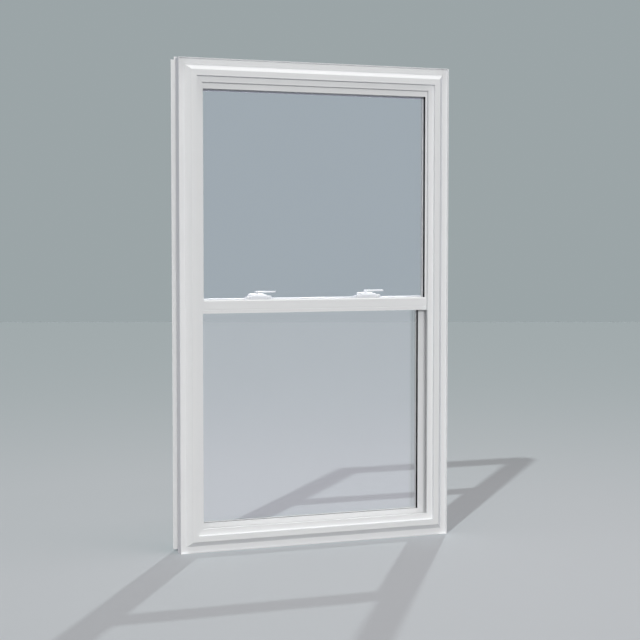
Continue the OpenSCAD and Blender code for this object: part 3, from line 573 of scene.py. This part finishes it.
@dataclass
class PileMaker:
    """Makes weatherstrips: a thin backing strip with rows of bristles, by geometry nodes.

    Args:
        pitch: Distance between tufts along the strip, in metres.
        rows: Rows of tufts across the strip.
        tuft: Radius of a tuft at its foot, in metres.
        lean: Largest lean of a tuft, in radians.
        seed: Seed of the leans and lengths.
    """

    pitch: float = 1.5 * MM
    rows: int = 4
    tuft: float = 0.42 * MM
    lean: float = 0.16
    seed: int = 11
    tree: bpy.types.NodeTree = field(init=False)

    def __post_init__(self) -> None:
        """Builds the geometry node tree."""
        self.tree = self._build()

    def _build(self) -> bpy.types.NodeTree:
        """Builds a strip along X with its backing's underside on Z = 0.

        Returns:
            The node tree.
        """
        group = Tree(bpy.data.node_groups.new("pile_strip", "GeometryNodeTree"))
        sockets = {
            "Length": (FLOAT, 1.0),
            "Width": (FLOAT, 0.005),
            "Height": (FLOAT, 0.0016),
            "Backing": (FLOAT, 0.0005),
            "Tufts": (INTEGER, 600),
            "Rows": (INTEGER, 4),
            "Radius": (FLOAT, 0.0004),
            "Lean": (FLOAT, 0.15),
            "Seed": (INTEGER, 1),
            "Finish": (MATERIAL,),
        }
        into, out = group.declare(sockets, {"Geometry": GEOMETRY})
        size = into.outputs
        nap = group.math("SUBTRACT", size["Height"], size["Backing"])
        inner_length = group.math("SUBTRACT", size["Length"], group.math("MULTIPLY", size["Radius"], 2.6))
        inner_width = group.math("SUBTRACT", size["Width"], group.math("MULTIPLY", size["Radius"], 2.6))
        grid = group.add("GeometryNodeMeshGrid", {
            "Size X": inner_length,
            "Size Y": inner_width,
            "Vertices X": size["Tufts"],
            "Vertices Y": size["Rows"],
        }).outputs["Mesh"]
        foot = group.add("ShaderNodeCombineXYZ", {"Z": size["Backing"]}).outputs[0]
        raised = group.add("GeometryNodeSetPosition", {"Geometry": grid, "Offset": foot})
        tuft = group.add("GeometryNodeMeshCone", {
            "Vertices": 4,
            "Radius Top": group.math("MULTIPLY", size["Radius"], 0.45),
            "Radius Bottom": size["Radius"],
            "Depth": group.math("MULTIPLY", nap, 0.97),
        })
        less = group.math("MULTIPLY", size["Lean"], -1.0)
        low = group.add("ShaderNodeCombineXYZ", {0: less, 1: less, 2: -3.0}).outputs[0]
        high = group.add("ShaderNodeCombineXYZ", {0: size["Lean"], 1: size["Lean"], 2: 3.0}).outputs[0]
        lean = group.add("FunctionNodeRandomValue", data_type="FLOAT_VECTOR")
        group.tree.links.new(low, lean.inputs[0])
        group.tree.links.new(high, lean.inputs[1])
        group.tree.links.new(size["Seed"], lean.inputs["Seed"])
        tall = group.add("FunctionNodeRandomValue", data_type="FLOAT")
        tall.inputs[2].default_value = 0.82
        tall.inputs[3].default_value = 0.98
        group.tree.links.new(size["Seed"], tall.inputs["Seed"])
        stretch = group.add("ShaderNodeCombineXYZ", {0: 1.0, 1: 1.0, 2: tall.outputs[1]}).outputs[0]
        tufts = group.add("GeometryNodeInstanceOnPoints", {
            "Points": raised.outputs["Geometry"],
            "Instance": tuft.outputs["Mesh"],
            "Rotation": lean.outputs[0],
            "Scale": stretch,
        })
        real = group.add("GeometryNodeRealizeInstances", {"Geometry": tufts.outputs["Instances"]})
        box = group.add("ShaderNodeCombineXYZ", {
            0: size["Length"], 1: size["Width"], 2: size["Backing"]
        }).outputs[0]
        strip = group.add("GeometryNodeMeshCube", {"Size": box}).outputs["Mesh"]
        half = group.math("MULTIPLY", size["Backing"], 0.5)
        lift = group.add("ShaderNodeCombineXYZ", {"Z": half}).outputs[0]
        backing = group.add("GeometryNodeTransform", {"Geometry": strip, "Translation": lift})
        join = group.add("GeometryNodeJoinGeometry")
        group.tree.links.new(real.outputs["Geometry"], join.inputs[0])
        group.tree.links.new(backing.outputs["Geometry"], join.inputs[0])
        dressed = group.add("GeometryNodeSetMaterial", {
            "Geometry": join.outputs[0],
            "Material": size["Finish"],
        })
        group.tree.links.new(dressed.outputs["Geometry"], out.inputs["Geometry"])
        return group.tree

    def strip(self, node: str, body: str, face: Face, run: Run, finishes: Finishes) -> bpy.types.Object:
        """Makes the strip that stands for a CAD weatherstrip node.

        Args:
            node: The CAD node, a plain strip.
            body: The CAD body that it rides on.
            face: The way that the bristles point.
            run: The axis that the strip runs along.
            finishes: The window's finishes.

        Returns:
            The new piece.
        """
        low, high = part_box(node)
        size = Vector(high) - Vector(low)
        length, width = (size.x, size.z) if run is Run.ALONG_X else (size.z, size.x)
        values = {
            "Length": length,
            "Width": width,
            "Height": size.y,
            "Backing": 0.3 * size.y,
            "Tufts": max(2, round(length / self.pitch)),
            "Rows": self.rows,
            "Radius": self.tuft,
            "Lean": self.lean,
            "Seed": self.seed,
            "Finish": finishes.get("pile"),
        }
        made = grow(f"{node}_bristles", self.tree, values)
        centre = (Vector(low) + Vector(high)) / 2
        out_way = Vector((0.0, face.value, 0.0))
        along = Vector((1.0, 0.0, 0.0)) if run is Run.ALONG_X else Vector((0.0, 0.0, 1.0))
        across = out_way.cross(along)
        turn = Matrix((along, across, out_way)).transposed().to_4x4()
        foot = centre - out_way * size.y / 2
        made.data.transform(Matrix.Translation(foot) @ turn)
        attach(made, body)
        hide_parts(node)
        return made


def grow(name: str, tree: bpy.types.NodeTree, values: dict) -> bpy.types.Object:
    """Runs a geometry node tree once and keeps its result as a plain mesh object.

    Args:
        name: Name of the new object.
        tree: The geometry node tree.
        values: The tree's input names to their values.

    Returns:
        The new object, with no modifier.
    """
    seed_mesh = bpy.data.meshes.new(name)
    seed = bpy.data.objects.new(f"{name}_seed", seed_mesh)
    bpy.context.scene.collection.objects.link(seed)
    modifier = seed.modifiers.new("grow", "NODES")
    modifier.node_group = tree
    names = {s.name: s.identifier for s in tree.interface.items_tree if s.in_out == "INPUT"}
    for socket, value in values.items():
        modifier[names[socket]] = value
    return bake_modifiers(seed, name)


# ---------------------------------------------------------------- balances


@dataclass
class RodMaker:
    """Makes the twisted flat rods of the spiral balances, by geometry nodes.

    Args:
        width: Width of the flat, in metres.
        thickness: Its thickness, in metres.
        pitch: Length of one full turn, in metres.
        step: Distance between sections, in metres.
    """

    width: float = 6.0 * MM
    thickness: float = 2.0 * MM
    pitch: float = 120.0 * MM
    step: float = 2.5 * MM
    tree: bpy.types.NodeTree = field(init=False)

    def __post_init__(self) -> None:
        """Builds the geometry node tree."""
        self.tree = self._build()

    def _build(self) -> bpy.types.NodeTree:
        """Builds a flat bar swept up Z and twisted as it rises.

        Returns:
            The node tree.
        """
        group = Tree(bpy.data.node_groups.new("twisted_rod", "GeometryNodeTree"))
        sockets = {
            "Foot": (VECTOR, (0.0, 0.0, 0.0)),
            "Top": (VECTOR, (0.0, 0.0, 1.0)),
            "Width": (FLOAT, 0.006),
            "Thickness": (FLOAT, 0.002),
            "Sections": (INTEGER, 200),
            "Turns": (FLOAT, 5.0),
            "Finish": (MATERIAL,),
        }
        into, out = group.declare(sockets, {"Geometry": GEOMETRY})
        size = into.outputs
        line = group.add("GeometryNodeCurvePrimitiveLine", {"Start": size["Foot"], "End": size["Top"]})
        path = group.add("GeometryNodeResampleCurve", {"Curve": line.outputs[0], "Count": size["Sections"]})
        share = group.add("GeometryNodeSplineParameter").outputs["Factor"]
        turned = group.math("MULTIPLY", group.math("MULTIPLY", share, size["Turns"]), -2.0 * math.pi)
        twist = group.add("GeometryNodeSetCurveTilt", {"Curve": path.outputs[0], "Tilt": turned})
        flat = group.add("GeometryNodeCurvePrimitiveQuadrilateral", {
            "Width": size["Width"],
            "Height": size["Thickness"],
        })
        swept = group.add("GeometryNodeCurveToMesh", {
            "Curve": twist.outputs[0],
            "Profile Curve": flat.outputs[0],
            "Fill Caps": True,
        })
        dressed = group.add("GeometryNodeSetMaterial", {
            "Geometry": swept.outputs[0],
            "Material": size["Finish"],
        })
        real = group.add("GeometryNodeRealizeInstances", {"Geometry": dressed.outputs[0]})
        group.tree.links.new(real.outputs[0], out.inputs["Geometry"])
        return group.tree

    def rod(self, node: str, body: str, finishes: Finishes) -> bpy.types.Object:
        """Makes the rod that stands for a CAD rod node.

        Args:
            node: The CAD node.
            body: The CAD body that it rides on.
            finishes: The window's finishes.

        Returns:
            The new piece.
        """
        low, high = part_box(node)
        middle = (Vector(low) + Vector(high)) / 2
        length = high[2] - low[2]
        values = {
            "Foot": (middle.x, middle.y, low[2]),
            "Top": (middle.x, middle.y, high[2]),
            "Width": self.width,
            "Thickness": self.thickness,
            "Sections": round(length / self.step),
            "Turns": length / self.pitch,
            "Finish": finishes.get("steel"),
        }
        made = grow(f"{node}_twisted", self.tree, values)
        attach(made, body)
        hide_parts(node)
        return made


# ---------------------------------------------------------------- sub-assemblies


@dataclass
class MainFrame:
    """The fixed frame: four hollow members with the casing and fins, the head stop and its strips.

    Args:
        finishes: The window's finishes.
        edges: The rounding of an extruded member's edges.
        pile: The weatherstrip maker.
    """

    finishes: Finishes
    edges: SoftEdges
    pile: PileMaker
    body: str = "frame"

    def build(self) -> int:
        """Builds and dresses the frame and returns how many pieces it handled."""
        count = 0
        for node in ("frame_head", "frame_sill", "head_stop"):
            self.edges.round(node, self.body, "vinyl_level", self.finishes)
            count += 1
        for side in Side:
            self.edges.round(f"frame_jamb_{side.value}", self.body, "vinyl_upright", self.finishes)
            for track, face in (("outer", Face.INDOORS), ("inner", Face.OUTDOORS)):
                strip = f"pile_{track}_{side.value}"
                self.pile.strip(strip, self.body, face, Run.ALONG_Z, self.finishes)
            count += 3
        self.edges.round("nailing_fins", self.body, "vinyl_upright", self.finishes)
        self.pile.strip("pile_outer_head", self.body, Face.INDOORS, Run.ALONG_X, self.finishes)
        return count + 2


@dataclass
class Sash:
    """One sliding sash with its sealed glass unit.

    Args:
        level: "upper" or "lower".
        beads: The sides that have a snap-in glazing bead.
        rails: The names of its two rails.
        finishes: The window's finishes.
        edges: The rounding of an extruded member's edges.
    """

    level: str
    beads: tuple[str, ...]
    rails: tuple[str, str]
    finishes: Finishes
    edges: SoftEdges

    @property
    def body(self) -> str:
        """Name of the sash's CAD body."""
        return f"{self.level}_sash"

    def build(self) -> int:
        """Builds and dresses the sash and returns how many pieces it handled."""
        return self._members() + self._glass()

    def _members(self) -> int:
        """Rounds the stiles, rails and beads."""
        members = [(f"{self.level}_{rail}", "vinyl_level") for rail in self.rails]
        members += [(f"{self.level}_stile_{side.value}", "vinyl_upright") for side in Side]
        for bead in self.beads:
            upright = bead in (side.value for side in Side)
            members.append((f"{self.level}_bead_{bead}", "vinyl_upright" if upright else "vinyl_level"))
        for node, finish in members:
            self.edges.round(node, self.body, finish, self.finishes)
        return len(members)

    def _glass(self) -> int:
        """Dresses the panes, the spacer between them and the blocks under them."""
        for pane in ("outer", "inner"):
            self.finishes.dress(f"{self.level}_pane_{pane}", f"glass_{pane}")
        self.finishes.dress(f"{self.level}_spacer", "spacer")
        self.finishes.dress(f"{self.level}_setting_blocks", "rubber")
        return 4


@dataclass
class Locks:
    """The two cam locks on the lower sash and their keepers on the upper sash.

    Args:
        finishes: The window's finishes.
        edges: The rounding of a cast piece's edges.
    """

    finishes: Finishes
    edges: SoftEdges

    def build(self) -> int:
        """Builds and dresses the locks and returns how many pieces it handled."""
        for side in Side:
            name = side.value
            self.edges.round(f"keeper_{name}", "upper_sash", "cast", self.finishes)
            self.edges.round(f"lock_case_{name}", "lower_sash", "cast", self.finishes)
            self.edges.round(f"lock_lever_{name}", f"lock_{name}", "cast", self.finishes)
            self.finishes.dress(f"lock_cam_{name}", "steel")
        for screws in ("keeper_screws", "lock_screws"):
            self.finishes.dress(screws, "steel")
        return 10


@dataclass
class Balances:
    """The spiral balances: tubes and their screws on the frame, rods and brackets on the sashes.

    Args:
        finishes: The window's finishes.
        rods: The rod maker.
    """

    finishes: Finishes
    rods: RodMaker

    def build(self) -> int:
        """Builds and dresses the balances and returns how many pieces it handled."""
        for level in ("upper", "lower"):
            for side in Side:
                self.finishes.dress(f"{level}_balance_tube_{side.value}", "tube")
                self.finishes.dress(f"{level}_rod_bracket_{side.value}", "nylon")
                self.rods.rod(f"{level}_balance_rod_{side.value}", f"{level}_sash", self.finishes)
        self.finishes.dress("balance_screws", "steel")
        return 13


@dataclass
class MeetingSeals:
    """The pile on the lower check rail and the seal under the lower sash.

    Args:
        finishes: The window's finishes.
        pile: The weatherstrip maker.
    """

    finishes: Finishes
    pile: PileMaker

    def build(self) -> int:
        """Builds and dresses the two seals and returns how many pieces it handled."""
        self.pile.strip("check_rail_pile", "lower_sash", Face.OUTDOORS, Run.ALONG_X, self.finishes)
        self.finishes.dress("bottom_seal", "rubber")
        return 2


# ---------------------------------------------------------------- stage, light and camera


@dataclass
class Stage:
    """A plain pale floor whose far edge lies level across the view.

    Args:
        turn: Turn of the floor to the right of straight in, in degrees.
        far: Distance from the window to the far edge, in metres.
        reach: Distance from the window to the other three edges, in metres.
        colour: Colour of the floor.
        mirrored: Colour of the painted reflection: the glow that glossy surfaces mirror in place of the lit
            floor.
        bounce: Share of its light that the floor throws back on the window.
    """

    turn: float = 21.2847
    far: float = 12.87
    reach: float = 14.0
    colour: Colour = (0.66, 0.745, 0.765)
    mirrored: Colour = (0.98, 0.96, 1.14)
    bounce: float = 0.3

    def build(self) -> bpy.types.Object:
        """Builds the floor and returns it."""
        mesh = bpy.data.meshes.new("floor")
        turn = Matrix.Rotation(-math.radians(self.turn), 4, "Z")
        near, far, side = -self.reach, self.far, self.reach
        corners = [(-side, near, 0.0), (side, near, 0.0), (side, far, 0.0), (-side, far, 0.0)]
        mesh.from_pydata([turn @ Vector(corner) for corner in corners], [], [(0, 1, 2, 3)])
        floor = bpy.data.objects.new("floor", mesh)
        bpy.context.scene.collection.objects.link(floor)
        mesh.materials.append(self._paint())
        return floor

    def _paint(self) -> bpy.types.Material:
        """Builds and returns the floor's matt paint, which glossy surfaces mirror as an even glow, a
        painted reflection.
        """
        material = bpy.data.materials.new("floor_paint")
        material.use_nodes = True
        material.node_tree.nodes.clear()
        tree = Tree(material.node_tree)
        paint = tree.add("ShaderNodeBsdfDiffuse", {"Color": (*self.colour, 1.0)})
        dim = tree.add("ShaderNodeBsdfDiffuse", {"Color": (*(self.bounce * c for c in self.colour), 1.0)})
        # Painted reflection: seen in a glossy surface, the floor glows with one even colour in place of its
        # lit paint
        glow = tree.add("ShaderNodeEmission", {"Color": (*self.mirrored, 1.0), "Strength": 1.0})
        path = tree.add("ShaderNodeLightPath").outputs
        gloss = tree.math("GREATER_THAN", path["Glossy Depth"], GLOSSY_BOUNCE)
        thrown = {0: path["Is Diffuse Ray"], 1: paint.outputs[0], 2: dim.outputs[0]}
        matt = tree.add("ShaderNodeMixShader", thrown)
        mix = tree.add("ShaderNodeMixShader", {0: gloss, 1: matt.outputs[0], 2: glow.outputs[0]})
        tree.add("ShaderNodeOutputMaterial", {"Surface": mix.outputs[0]})
        return material


class Lit(Enum):
    """What a lamp lights."""

    FLOOR = "INCLUDE"
    WINDOW = "EXCLUDE"


@dataclass(frozen=True)
class SoftBox:
    """One soft studio light.

    Args:
        name: The light's name.
        place: Where it hangs, in metres.
        aim: The point that it faces.
        size: Its width and height.
        power: Its power in watts.
        lit: What it lights.
        colour: Its colour.
    """

    name: str
    place: Corner
    aim: Corner
    size: tuple[float, float]
    power: float
    lit: Lit
    colour: Colour

    def build(self) -> bpy.types.Object:
        """Hangs the light and returns it."""
        data = bpy.data.lights.new(self.name, "AREA")
        data.shape = "RECTANGLE"
        data.size, data.size_y = self.size
        data.energy = self.power
        data.color = self.colour
        lamp = bpy.data.objects.new(self.name, data)
        lamp.location = self.place
        way = Vector(self.aim) - Vector(self.place)
        lamp.rotation_euler = way.to_track_quat("-Z", "Y").to_euler()
        bpy.context.scene.collection.objects.link(lamp)
        return lamp


@dataclass(frozen=True)
class FarLamp:
    """One distant lamp, whose shadows all run the same way.

    Args:
        name: The light's name.
        bearing: Where it stands, in degrees from straight indoors towards the right.
        elevation: Its height above the horizon, in degrees.
        spread: Its apparent width, in degrees, which softens its shadows.
        strength: Its strength in watts per square metre.
        lit: What it lights.
    """

    name: str
    bearing: float
    elevation: float
    spread: float
    strength: float
    lit: Lit

    def build(self) -> bpy.types.Object:
        """Sets the lamp up and returns it."""
        data = bpy.data.lights.new(self.name, "SUN")
        data.energy = self.strength
        data.angle = math.radians(self.spread)
        lamp = bpy.data.objects.new(self.name, data)
        bearing, elevation = math.radians(self.bearing), math.radians(self.elevation)
        level = math.cos(elevation)
        source = Vector((math.sin(bearing) * level, math.cos(bearing) * level, math.sin(elevation)))
        lamp.rotation_euler = (-source).to_track_quat("-Z", "Y").to_euler()
        lamp.location = LAMP_REACH * source
        bpy.context.scene.collection.objects.link(lamp)
        return lamp


@dataclass
class Studio:
    """The lamps, the even light all round, and what is seen past the floor.

    Some lamps light the floor alone and the others light the window alone. None shows through the glass.

    Args:
        lamps: The soft boxes and far lamps.
        surround: Colour and strength of the even light.
        mirrored: What glossy surfaces mirror.
        backdrop: What is seen past the floor.
    """

    lamps: tuple[SoftBox | FarLamp, ...]
    surround: Colour = (0.2, 0.2, 0.2)
    mirrored: Colour = (0.5, 0.56, 0.8)
    backdrop: Colour = (0.330, 0.376, 0.388)

    def build(self, floor: bpy.types.Object) -> int:
        """Lights the scene.

        Args:
            floor: The floor, which some of the lamps light alone and the others pass by.

        Returns:
            The number of lamps.
        """
        world = bpy.data.worlds.new("studio")
        world.use_nodes = True
        world.node_tree.nodes.clear()
        tree = Tree(world.node_tree)
        path = tree.add("ShaderNodeLightPath").outputs
        seen = tree.math("MAXIMUM", path["Is Camera Ray"], path["Is Transmission Ray"])
        view = tree.add("ShaderNodeMix", {0: seen}, data_type="RGBA")
        view.inputs[6].default_value = (*self.surround, 1.0)
        view.inputs[7].default_value = (*self.backdrop, 1.0)
        glossy = tree.math("GREATER_THAN", path["Glossy Depth"], GLOSSY_BOUNCE)
        mirror = tree.add("ShaderNodeMix", {0: glossy, 6: view.outputs[2]}, data_type="RGBA")
        mirror.inputs[7].default_value = (*self.mirrored, 1.0)
        sky = tree.add("ShaderNodeBackground", {"Color": mirror.outputs[2], "Strength": 1.0})
        tree.add("ShaderNodeOutputWorld", {"Surface": sky.outputs[0]})
        bpy.context.scene.world = world
        groups = {lit: self._receivers(lit, floor) for lit in Lit}
        for lamp in self.lamps:
            hung = lamp.build()
            hung.light_linking.receiver_collection = groups[lamp.lit]
            # A lamp's disk would otherwise show as a white patch through the glass
            hung.visible_transmission = False
        settings = bpy.context.scene.view_settings
        settings.view_transform = "Standard"
        settings.look = "None"
        return len(self.lamps)

    def _receivers(self, lit: Lit, floor: bpy.types.Object) -> bpy.types.Collection:
        """Returns the collection that keeps a lamp on the floor or off it.

        Args:
            lit: What the lamps of this collection light.
            floor: The floor.

        Returns:
            The collection of light receivers.
        """
        group = bpy.data.collections.new(f"lit_{lit.name.lower()}")
        group.objects.link(floor)
        group.collection_objects[0].light_linking.link_state = lit.value
        return group


@dataclass(frozen=True)
class Camera:
    """The camera, at the portrait's viewing angle.

    Args:
        place: Where it stands, in metres.
        turn: Its turn to the right of straight in, in degrees.
        dip: Its dip below level, in degrees.
        lens: Focal length in millimetres, on a 36 mm sensor.
    """

    place: Corner = (-1.6970, -4.4143, 0.9586)
    turn: float = 21.2847
    dip: float = 3.0412
    lens: float = 84.046

    def build(self) -> bpy.types.Object:
        """Sets up the camera and returns it."""
        data = bpy.data.cameras.new("portrait_camera")
        data.lens = self.lens
        data.sensor_width = SENSOR
        data.clip_start, data.clip_end = CLIP_NEAR, CLIP_FAR
        camera = bpy.data.objects.new("portrait_camera", data)
        camera.location = self.place
        camera.rotation_euler = (math.radians(90.0 - self.dip), 0.0, -math.radians(self.turn))
        bpy.context.scene.collection.objects.link(camera)
        bpy.context.scene.camera = camera
        return camera


LAMPS = (
    FarLamp("key", -141.0, 40.9, 1.2, 1.0, Lit.FLOOR),
    FarLamp("rim", 31.6, 40.5, 1.2, 0.65, Lit.FLOOR),
    SoftBox("pool", (0.3, -1.0, 4.4), (0.3, -0.3, 0.0), (2.6, 2.6), 46.0, Lit.FLOOR, (1.0, 0.71, 0.75)),
    FarLamp("front", -166.0, 10.0, 12.0, 1.27, Lit.WINDOW),
    FarLamp("fill", -160.0, 10.0, 100.0, 0.6, Lit.WINDOW),
    FarLamp("left", -105.0, 12.0, 30.0, 0.25, Lit.WINDOW),
    FarLamp("top", 180.0, 82.0, 10.0, 1.55, Lit.WINDOW),
    FarLamp("back", 20.0, 12.0, 30.0, 1.6, Lit.WINDOW),
)


def main() -> None:
    """Builds the stage, the light and every sub-assembly in order."""
    logging.basicConfig(level=logging.INFO, format="%(name)s: %(message)s")
    Camera().build()
    floor = Stage().build()
    LOG.info("lamps: %d", Studio(LAMPS).build(floor))
    finishes = Finishes(ShaderGroups())
    extruded = SoftEdges(EXTRUDED_ROUND)
    cast = SoftEdges(CAST_ROUND)
    pile = PileMaker()
    LOG.info("frame: %d pieces", MainFrame(finishes, extruded, pile).build())
    upper = Sash("upper", ("top", "left", "right"), ("top_rail", "check_rail"), finishes, extruded)
    LOG.info("upper sash: %d pieces", upper.build())
    lower_beads = ("top", "bottom", "left", "right")
    lower = Sash("lower", lower_beads, ("check_rail", "bottom_rail"), finishes, extruded)
    LOG.info("lower sash: %d pieces", lower.build())
    LOG.info("locks: %d pieces", Locks(finishes, cast).build())
    LOG.info("balances: %d pieces", Balances(finishes, RodMaker()).build())
    LOG.info("meeting seals: %d pieces", MeetingSeals(finishes, pile).build())


if __name__ == "__main__":
    main()
